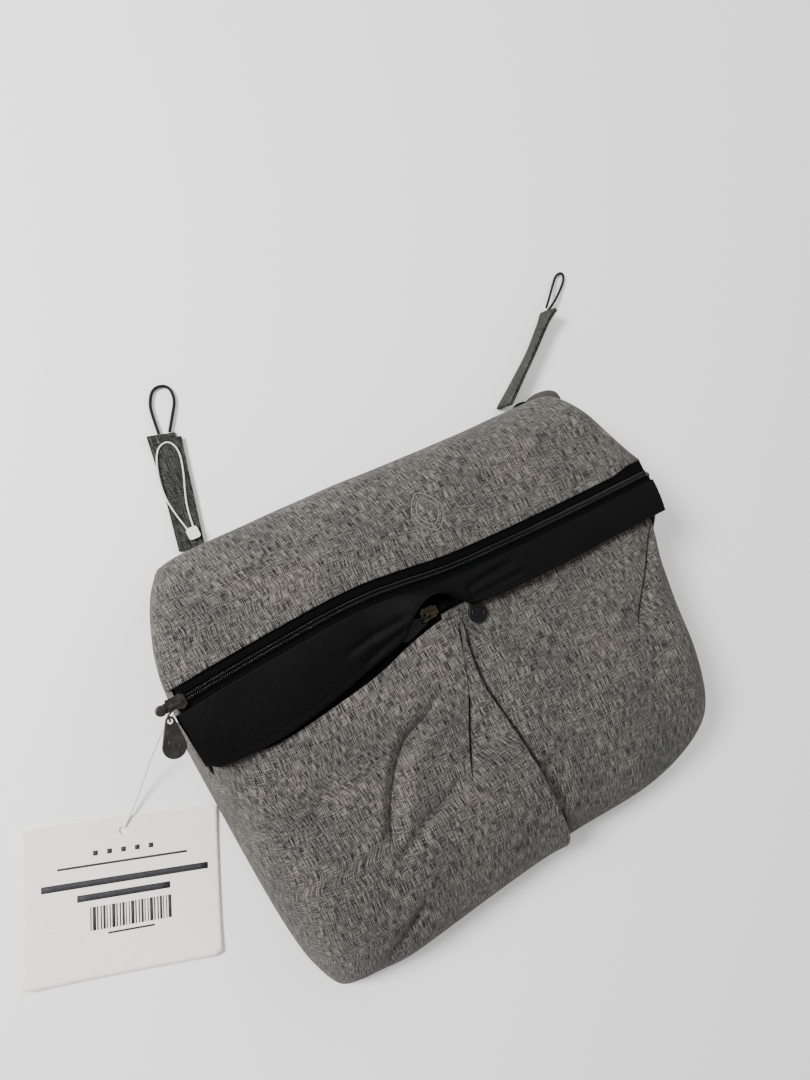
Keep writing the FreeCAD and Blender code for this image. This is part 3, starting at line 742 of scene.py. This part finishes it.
def band_surface():
    """The band's cloth, hanging from the zip over the pocket's top and lifted in the middle."""
    x0 = np.linspace(-213.0, 202.5, 260)
    v = np.linspace(0.0, 1.0, 40)[:, None]
    top = follow(ZIP_LINE, x0) - BAND_BELOW_ZIP
    low = follow(BAND_EDGE, x0)
    lift = np.clip(follow(BAND_LIFT, x0), 0.0, 1.0)
    low_z = BAND_LOW_Z + 2.6 * rise(x0, -30.0, 10.0) + 9.0 * lift + 1.2 * np.sin(x0 / 31.0) * (1 - lift)
    middle_y = (top + low) / 2 - 8.0 * lift
    middle_z = 79.6 + 15.0 * lift
    y = (1 - v) ** 2 * top + 2 * v * (1 - v) * middle_y + v ** 2 * low
    z = (1 - v) ** 2 * BAND_TOP_Z + 2 * v * (1 - v) * middle_z + v ** 2 * low_z
    x = np.broadcast_to(x0, y.shape).copy()
    corner = rise(-x, 203.0, 213.0) * v ** 3
    y += 4.0 * corner
    x += 4.0 * rise(-x, 190.0, 213.0) * v
    z += undulate(x, y, 60.0, 4) * 0.8 * np.sin(math.pi * v ** 0.8)
    for crease in BAND_CREASES:
        z += furrow(x, y, *crease, 0.6)
    hem = np.exp(-((v - 0.9) / 0.012) ** 2) * 0.35
    return np.stack([x, y, z - hem], axis=2)


def add_band():
    """The black nylon band, hemmed along its lower edge."""
    points = curl(band_surface(), "bottom", 0.8, 5.0)
    piece = settle(grid_piece("band_cloth", points, NYLON, 0.7, -1.0))
    assign(piece, "bag", "black_nylon", "zip_band")


def add_side(side):
    """The side of the bag, from the back seam to the cut under the lid's end."""
    name = "left_side_cloth" if side < 0 else "right_side_cloth"
    y0 = np.linspace(6.0, 161.0, 96)
    top = np.minimum(cut_height(y0) + 1.5, 75.5)
    top = np.where(y0 < 46.0, np.interp(y0, [6.0, 24.0, 46.0], [30.0, 58.0, 74.0]), top)
    v = np.linspace(0.0, 1.0, 30)[:, None]
    bulge = np.sin(math.pi * v) ** 0.8
    tucked = 3.6 + 5.0 * (1 - rise(y0, 8.0, 34.0))
    x = half_width(y0, side) - tucked - 6.0 * (1 - v) ** 2 * rise(y0, 40.0, 70.0) + 2.0 * bulge
    x = x + undulate(y0, v * 60.0, 50.0, 6 + side) * 0.7 * bulge
    z = 0.4 + (top - 0.4) * v
    y = np.broadcast_to(y0, x.shape)
    points = np.stack([x * side, y, z], axis=2)
    piece = settle(grid_piece(name, points, GREY, CLOTH_T, 0.0))
    assign(piece, "bag", "grey_cloth", "left_side_panel" if side < 0 else "right_side_panel")


def add_corner_fold():
    """The fold of cloth behind the lid's right corner, and a dark tube of lining cloth in the gap behind it, a
    painted shadow of the fold.
    """
    share = np.clip(np.linspace(0.0, 1.0, 30), 0.04, 0.96)
    for name, path, radius, material, sides, power, slot in (
        ("corner_fold", [(163, 164.5, 15), (176, 165.5, 19), (190, 164, 19), (199, 160, 15)],
         6.4, GREY, 20, 0.35, "grey_cloth"),
        # a dark lining tube set in the gap behind the corner: painted shadow of the fold
        ("corner_painted_shadow", [(150, 165, 12), (160, 166, 14), (172, 165.5, 15)],
         4.6, LINING, 16, 0.6, "lining"),
    ):
        piece = tube_mesh(name, spline(path, 30), radius, material, sides, np.sin(math.pi * share) ** power)
        assign(piece, "bag", slot)


def plan_outline(inset, count=160):
    """The bag's plan as a closed ring of points, moved in from its sides."""
    halves = []
    for side in (1, -1):
        line = [(0.0, -167.5 + inset), (104.0, -167.5 + inset), (156.0, -163.0 + inset)]
        line += [(half_width(y, side) - inset, y) for y in (-146, -120, -80, -20, 30, 76, 110, 138)]
        line += [(178.0 - inset, 158.0 - inset), (150.0, 161.0 - inset), (0.0, 161.0 - inset)]
        halves.append(spline(line, count // 2 + 1) * np.array([side, 1.0]))
    return np.concatenate([halves[0], halves[1][::-1][1:-1]])


def plan_sheet(name, inset, height, material, thickness, slot, node, relief=0.0):
    """A sheet in the shape of the bag's plan, with slight unevenness."""
    ring = plan_outline(inset)
    shares = np.concatenate([np.linspace(0.02, 0.94, 40), [0.97, 0.985, 1.0]])
    middle = np.array([0.0, -2.0])
    grid = middle + (ring[None, :, :] - middle) * shares[:, None, None]
    z = height + relief * undulate(grid[:, :, 0], grid[:, :, 1], 70.0, 7) * (1 - shares[:, None] ** 6)
    points = np.concatenate([grid, z[:, :, None]], axis=2)
    piece = grid_piece(name, points, material, 0.0, wrap=True)
    flat = (points.reshape(-1, 3)[:, :2] * MM).astype(np.float32)
    index = np.empty(len(piece.data.loops), np.int32)
    piece.data.loops.foreach_get("vertex_index", index)
    piece.data.uv_layers["cloth"].data.foreach_set("uv", flat[index].ravel())
    solid = piece.modifiers.new("thickness", "SOLIDIFY")
    solid.thickness = thickness * MM
    solid.offset = 0.0
    assign(settle(piece), "bag", slot, node)


# ---- lining

def add_front_lining():
    """The lining between the main compartment and the outer pocket."""
    line = spline([(-156, 3), (-148, 24), (-110, 42), (-55, 53), (10, 57.5), (48, 60),
                   (60, 64), (64.5, 77)], 90)
    share = np.linspace(-1.0, 1.0, 130)
    half = half_width(line[:, 0], 1) - 14.0
    turn = math.pi / 2 * 0.92
    x = half[:, None] * np.sin(share * turn)[None, :] / math.sin(turn)
    y = np.broadcast_to(line[:, :1], x.shape)
    inward = half[:, None] - np.abs(x)
    z = 3.0 + (line[:, 1:] - 3.0) * swell(inward, 24.0, STUFFING)
    z = z + undulate(x, y, 60.0, 9) * 1.2 * swell(inward, 30.0, 2.0) * rise(60.0 - y, 0.0, 20.0)
    piece = settle(grid_piece("front_lining", np.stack([x, y, z], axis=2), LINING, LINING_T, -1.0))
    assign(piece, "bag", "lining", "front_panel")


def add_lid_lining():
    """The lining under the lid's cloth."""
    line = spline([(159.5, 27), (158, 38), (151, 50), (130.5, 66.5), (106, 74.6), (89, 76)], 60)
    x = np.linspace(-170.0, 170.0, 110)[None, :] * np.ones((60, 1))
    y = np.broadcast_to(line[:, :1], x.shape)
    z = line[:, 1:] + undulate(x, y, 70.0, 1) * 0.8
    piece = settle(grid_piece("lid_lining_cloth", np.stack([x, y, z], axis=2), LINING, LINING_T, 1.0))
    assign(piece, "lid", "lining", "lid_lining")


def add_linings():
    """The back panel's two faces, the slip pocket on the inner one, and the front's and the lid's linings."""
    plan_sheet("back_cloth", 4.0, 1.2, GREY, 1.6, "grey_cloth", "back_panel")
    plan_sheet("back_lining", 16.0, 5.6, LINING, 0.8, "lining", "back_foam", 0.9)
    x = np.linspace(-120.0, 120.0, 90)[None, :] * np.ones((70, 1))
    y = np.linspace(60.0, -120.0, 70)[:, None] * np.ones((1, 90))
    z = 7.4 + 0.5 * undulate(x, y, 60.0, 11) + 1.8 * rise(y, 30.0, 60.0) * np.cos(x / 120.0 * math.pi / 2)
    points = curl(np.stack([x, y, z], axis=2), "top", 0.7, 12.0)
    assign(settle(grid_piece("slip_pocket_cloth", points, LINING, LINING_T)), "bag", "lining", "slip_pocket")
    add_front_lining()
    add_lid_lining()


# ---- zips

TOOTH_PITCH = 1.35
TAPE_T = 0.7
ZIP_RIGHT = 199.5
MAIN_TAPE_Z = 77.5
MAIN_COIL_Z = 78.9
BEAD_Z = 78.1
POCKET_TAPE_Z = 65.9
POCKET_COIL_Z = 67.2
POCKET_TAPE_HALF = 171.0
POCKET_COIL_HALF = 160.0


def add_tape(name, body, line, near, far, height, x_low, x_high):
    """One side of a zip's tape, from near its teeth to its sewn edge."""
    x = np.linspace(x_low, x_high, 220)[None, :] * np.ones((12, 1))
    share = np.linspace(0.0, 1.0, 12)[:, None]
    y = follow(line, x) + near + (far - near) * share
    z = height + 0.25 * undulate(x, y, 34.0, 2) * share - 0.35 * np.exp(-(share * 6.0) ** 2)
    points = np.stack([x, y, z], axis=2)
    if far > near:
        points = points[::-1]
    assign(settle(grid_piece(name + "_weave", points, TAPE, TAPE_T, 0.0)), body, "zip_tape", name)


def add_coil(name, body, line, side, height, x_low, x_high):
    """One side of a nylon coil: a flattened spiral of loops along the zip."""
    turns = int((x_high - x_low) / TOOTH_PITCH)
    angle = np.linspace(0.0, 2 * math.pi * turns, turns * 9 + 1) + (0.0 if side > 0 else math.pi)
    x = x_low + TOOTH_PITCH * angle / (2 * math.pi)
    y = follow(line, x) + side * (1.15 + 1.25 * np.cos(angle))
    z = height + 0.85 * np.sin(angle)
    assign(tube_mesh(name + "_loops", np.stack([x, y, z], axis=1), 0.36, COIL, 5), body, "zip_coil", name)


def add_stops():
    """The metal stops at both ends of the main zip's lower coil, as one piece."""
    corners = ((-1.0, -1.6), (1.0, -1.6), (1.0, 1.6), (-1.0, 1.6))
    sides = ((3, 2, 1, 0), (4, 5, 6, 7), (0, 1, 5, 4), (1, 2, 6, 5), (2, 3, 7, 6), (3, 0, 4, 7))
    points, faces = [], []
    for x in (-208.5, ZIP_RIGHT + 0.3):
        first = len(points)
        y = float(follow(ZIP_LINE, x)) - 2.0
        points += [(x + across, y + along, z) for z in (78.1, 79.9) for across, along in corners]
        faces += [tuple(first + n for n in side) for side in sides]
    mesh = bpy.data.meshes.new("zip_end_stops")
    mesh.from_pydata((np.array(points) * MM).tolist(), [], faces)
    assign(add_piece("zip_end_stops", mesh, GUNMETAL), "bag", "gunmetal", "main_zip_stops")


def add_zips():
    """The tapes and coils of both zips, and the main zip's stops and edge beads."""
    add_stops()
    add_tape("main_upper_tape", "lid", ZIP_LINE, 0.3, 13.0, MAIN_TAPE_Z, -206.5, ZIP_RIGHT)
    add_tape("main_lower_tape", "bag", ZIP_LINE, -0.3, -12.5, MAIN_TAPE_Z, -208.5, ZIP_RIGHT + 2.0)
    add_coil("main_upper_coil", "lid", ZIP_LINE, 1, MAIN_COIL_Z, -207.0, ZIP_RIGHT)
    add_coil("main_lower_coil", "bag", ZIP_LINE, -1, MAIN_COIL_Z, -207.0, ZIP_RIGHT)
    for name, near, far in (("pocket_upper_tape", 0.3, 8.5), ("pocket_lower_tape", -0.3, -10.0)):
        add_tape(name, "bag", POCKET_ZIP_LINE, near, far, POCKET_TAPE_Z, -POCKET_TAPE_HALF, POCKET_TAPE_HALF)
    for name, side in (("pocket_upper_coil", 1), ("pocket_lower_coil", -1)):
        add_coil(name, "bag", POCKET_ZIP_LINE, side, POCKET_COIL_Z, -POCKET_COIL_HALF, POCKET_COIL_HALF)
    x = np.linspace(-204.0, ZIP_RIGHT - 1.5, 210)
    for name, body, away in (("main_upper_bead", "lid", 3.6), ("main_lower_bead", "bag", -3.6)):
        path = np.stack([x, follow(ZIP_LINE, x) + away, np.full(len(x), BEAD_Z)], axis=1)
        assign(tube_mesh(name, path, 0.55, TAPE), body, "zip_tape")


# ---- metal

EDGE_RADIUS = 0.00025


def finish_metal():
    """Materials and softened edges for the frame's own nodes that stay in sight."""
    looks = {"main_slider": GUNMETAL, "main_link": GUNMETAL, "main_puller": GUNMETAL,
             "pocket_zip_stops": GUNMETAL, "pocket_left_slider": BRONZE, "pocket_left_link": BRONZE,
             "pocket_left_puller": ENAMEL, "pocket_right_slider": ENAMEL, "pocket_right_link": ENAMEL,
             "pocket_right_puller": ENAMEL, "string_clasp": PLASTIC, "base_board": BOARD,
             "left_strap_anchor": STRAP_GREY, "right_strap_anchor": STRAP_GREY}
    for name, material in looks.items():
        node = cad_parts[name]
        for slot in node.material_slots:
            slot.material = material
        bevel = node.modifiers.new("soft_edges", "BEVEL")
        bevel.width = EDGE_RADIUS
        bevel.segments = 2
        bevel.limit_method = "ANGLE"
        bevel.angle_limit = math.radians(40)


def add_ring(name, body, slot, material, centre, radius, thickness):
    """A raised ring on a pull tab."""
    turns = np.linspace(0.0, 2 * math.pi, 41)
    path = np.stack([centre[0] + radius * np.cos(turns), centre[1] + radius * np.sin(turns),
                     np.full(41, centre[2])], axis=1)
    assign(tube_mesh(name, path, thickness, material, 8), body, slot)


# ---- straps, cords and tag

STRAP_T = 1.3
STRAP_CROWN = 0.35
STRAP_LUMPS = 0.25
STRAP_LOWEST = 0.75


def ribbon(name, base, aim, start, length, widths, lean, offset, shift):
    """A strap layer: a crowned strip with rolled edges, leaning by an angle that changes along it."""
    along = np.linspace(start, length, 90)
    share = np.clip(along / length, 0.0, 1.0)
    angle = np.radians(follow(lean, share))
    width = follow(widths, share)
    aim = np.array([aim[0], aim[1], 0.0]) / math.hypot(*aim)
    flat = np.array([aim[1], -aim[0], 0.0])
    across = np.cos(angle)[:, None] * flat + np.sin(angle)[:, None] * np.array([0.0, 0.0, 1.0])
    face = np.cross(across, aim)
    middle_z = 0.5 * width * np.abs(np.sin(angle)) + 0.9 + offset * np.abs(np.cos(angle))
    centre = np.array([base[0], base[1], 0.0]) + along[:, None] * aim
    centre = centre + flat * (follow(shift, share) + offset * np.sin(angle))[:, None]
    centre[:, 2] = middle_z
    s = np.sin(np.linspace(-math.pi / 2, math.pi / 2, 25))
    crown = STRAP_CROWN * (1 - s ** 2)
    bumps = STRAP_LUMPS * undulate(along[:, None], s[None, :] * 10.0, 26.0, 3)
    points = (centre[:, None, :] + across[:, None, :] * (s[None, :] * width[:, None] / 2)[:, :, None]
              + face[:, None, :] * (crown + bumps)[:, :, None])
    points[:, :, 2] = np.maximum(points[:, :, 2], STRAP_LOWEST)
    return settle(grid_piece(name, points, STRAP_GREY, STRAP_T, 0.0))


def add_straps():
    """Both hanging straps, each of two layers: the left one lies flat, the right one stands on its edge."""
    left = ((-146.0, 170.5), (0.205, 0.979), -2.0)
    right = ((151.0, 177.0), (0.80, 0.60), -5.0)
    flat = [(0, 0), (0.5, 1.5), (1, -1)]
    edge = [(0, 80), (0.4, 86), (0.85, 84), (1, 74)]
    even = [(0, 19), (0.6, 19.6), (1, 21.5)]
    waist = [(0, 20), (0.4, 17.5), (0.8, 17), (1, 20)]
    bow = [(0, 1.5), (0.5, 3.5), (1, 2.5)]
    back_bow = [(0, 0), (0.5, -0.6), (1, -2.4)]
    face_bow = [(0, 0), (0.5, 0.8), (1, 1.2)]
    for name, body, route, length, widths, lean, offset, shift, node in (
        ("left_strap_back", "left_strap", left, 88.0, even, flat, 0.0, back_bow, "left_strap_lower"),
        ("left_strap_face", "left_strap", left, 84.0, even, flat, 1.9, face_bow, "left_strap_upper"),
        ("right_strap_back", "right_strap", right, 104.0, waist, edge, -0.9, bow, "right_strap_inner"),
        ("right_strap_face", "right_strap", right, 103.0, waist, edge, 0.9, bow, "right_strap_outer"),
    ):
        assign(ribbon(name, *route, length, widths, lean, offset, shift), body, "grey_cloth", node)


LEFT_LOOP = [(-0.1318, 0.2578, 0.0023), (-0.1305, 0.269, 0.002), (-0.1285, 0.2815, 0.0016),
             (-0.1205, 0.293, 0.0015), (-0.109, 0.2905, 0.0015), (-0.109, 0.2785, 0.0016),
             (-0.1165, 0.2675, 0.002), (-0.1238, 0.2563, 0.0023)]
RIGHT_LOOP = [(0.2334, 0.241, 0.0125), (0.244, 0.2488, 0.0084), (0.256, 0.2585, 0.0036),
              (0.2685, 0.2695, 0.0016), (0.2765, 0.269, 0.0015), (0.274, 0.2615, 0.0016),
              (0.262, 0.2525, 0.003), (0.25, 0.2445, 0.0056), (0.2356, 0.2383, 0.0085)]
TAG_STRING = [(-0.2125, 0.0695, 0.076), (-0.217, 0.0665, 0.064), (-0.223, 0.0605, 0.046),
              (-0.2315, 0.051, 0.028), (-0.244, 0.0365, 0.0125), (-0.2575, 0.0215, 0.0038),
              (-0.27, 0.0105, 0.0015)]
STRAP_STRING = [(-0.1438, 0.183, 0.0052), (-0.147, 0.197, 0.0049), (-0.1485, 0.213, 0.0048),
                (-0.1455, 0.231, 0.0048), (-0.1385, 0.2475, 0.0048), (-0.128, 0.2505, 0.0048),
                (-0.1235, 0.2405, 0.0048), (-0.1275, 0.2245, 0.0048), (-0.1335, 0.209, 0.0048),
                (-0.1375, 0.196, 0.0049), (-0.139, 0.183, 0.0052)]


def add_cord(name, body, node, route, length, diameter, material, slot, stiffness):
    """A cord along a route in metres, attached to a body."""
    curve = bpy.data.curves.new(name, "CURVE")
    curve.dimensions = "3D"
    line = curve.splines.new("NURBS")
    line.points.add(len(route) - 1)
    for point, spot in zip(line.points, route):
        point.co = (*spot, 1.0)
    line.order_u = 3
    line.use_endpoint_u = True
    curve.resolution_u = 16
    curve.bevel_depth = diameter / 2
    curve.bevel_resolution = 4
    curve.use_fill_caps = True
    curve.materials.append(material)
    cord = bpy.data.objects.new(name, curve)
    bpy.context.scene.collection.objects.link(cord)
    assign(cord, body, slot, node)


CARD_CENTRE_TOP = (-267.5, 18.0)
CARD_TURN = math.radians(-22.8)
CARD_HALF = 63.5
CARD_HIGH = 101.5
CARD_T = 0.45
CARD_HOLE = (0.0, -9.0, 2.5)
PRINT_LIFT = 0.27
PRINT_T = 0.06


def card_height(u, v):
    """Height of the card over the floor: almost flat, with corners that lift a little."""
    corner = (np.abs(u) / CARD_HALF) ** 3 * (np.abs(v + 50.0) / 51.0) ** 3
    return CARD_T + 1.3 * corner + 0.5 * (u / CARD_HALF) ** 2


def card_points(u, v, lift=0.0):
    """Points on the card, u across it and v down from its top edge, in millimetres."""
    c, s = math.cos(CARD_TURN), math.sin(CARD_TURN)
    x = CARD_CENTRE_TOP[0] + u * c - v * s
    y = CARD_CENTRE_TOP[1] + u * s + v * c
    return np.stack([x, y, card_height(u, v) + lift], axis=-1)


def add_card():
    """The paper card, as rings from its punched hole out to its edges."""
    turns = np.linspace(0.0, 2 * math.pi, 144, endpoint=False)
    hole_u, hole_v, hole_r = CARD_HOLE
    way_u, way_v = np.sin(turns), np.cos(turns)
    reach_u = np.where(way_u == 0, 1e9, (np.sign(way_u) * CARD_HALF - hole_u) / np.where(way_u == 0, 1, way_u))
    edge_v = np.where(way_v > 0, 0.0, -CARD_HIGH)
    reach_v = np.where(np.abs(way_v) < 1e-9, 1e9, (edge_v - hole_v) / np.where(np.abs(way_v) < 1e-9, 1, way_v))
    reach = np.minimum(reach_u, reach_v)
    share = np.linspace(0.0, 1.0, 40)[:, None] ** 1.3
    out = hole_r + (reach - hole_r) * share
    points = card_points(hole_u + way_u * out, hole_v + way_v * out)
    card = settle(grid_piece("tag_card", points[::-1], CARD, CARD_T, 0.0, wrap=True))
    assign(card, "hang_tag", "card", "hang_tag_card")


def add_print():
    """Plain printed shapes: a row of dots, bars that stand for lines of words, and a block of stripes."""
    blocks = []
    for i in range(5):
        blocks.append((-18.0 + 9.0 * i, -21.5, 3.2, 3.2))
    blocks += [(0, -29, 84, 1.5), (2, -40.5, 108, 4.4), (0, -49.5, 60, 4.4), (4, -74, 30, 1.3)]
    at = -26.0
    for i in range(26):
        wide = (0.7, 1.5, 0.9, 2.1)[(i * 7 + i // 3) % 4]
        blocks.append((at + wide / 2 + 4.0, -63.5, wide, 15.0))
        at += wide + (0.8, 1.3, 0.6)[(i * 5) % 3]
    vertices, faces = [], []
    for u, v, wide, high in blocks:
        columns = max(int(wide / 6.0), 1) + 1
        base = len(vertices)
        for side in (-0.5, 0.5):
            us = np.linspace(u - wide / 2, u + wide / 2, columns)
            vertices += (card_points(us, np.full(columns, v + side * high), PRINT_LIFT) * MM).tolist()
        for c in range(columns - 1):
            faces.append((base + c, base + c + 1, base + columns + c + 1, base + columns + c))
    mesh = bpy.data.meshes.new("tag_print")
    mesh.from_pydata(vertices, [], faces)
    piece = add_piece("tag_print", mesh, INK)
    solid = piece.modifiers.new("thickness", "SOLIDIFY")
    solid.thickness = PRINT_T * MM
    assign(settle(piece), "hang_tag", "card")


def add_cords():
    """The tag with its print, the two elastic loops and the two strings."""
    add_card()
    add_print()
    elastic = (0.0024, ELASTIC, "black_elastic", "medium")
    string = (0.0012, STRING, "white_string", "limp")
    add_cord("left_elastic_loop", "left_strap", "left_loop", LEFT_LOOP, 0.085, *elastic)
    add_cord("right_elastic_loop", "right_strap", "right_loop", RIGHT_LOOP, 0.1055, *elastic)
    add_cord("strap_string_line", "left_strap", "strap_string", STRAP_STRING, 0.1453, *string)
    add_cord("tag_string_line", "hang_tag", "hang_tag_string", TAG_STRING, 0.1181, *string)


add_camera()
add_studio()
add_cords()
add_pocket(-1)
add_pocket(1)
add_lid()
add_band()
add_side(-1)
add_side(1)
add_corner_fold()
add_linings()
add_zips()
add_straps()
finish_metal()
add_ring("pull_ring", "pocket_right_puller", "black_enamel", ENAMEL, (10.4, 33.5, 72.1), 4.6, 0.5)
add_ring("pull_boss", "main_puller", "gunmetal", GUNMETAL, (-220.7, 53.5, 83.8), 3.4, 0.28)
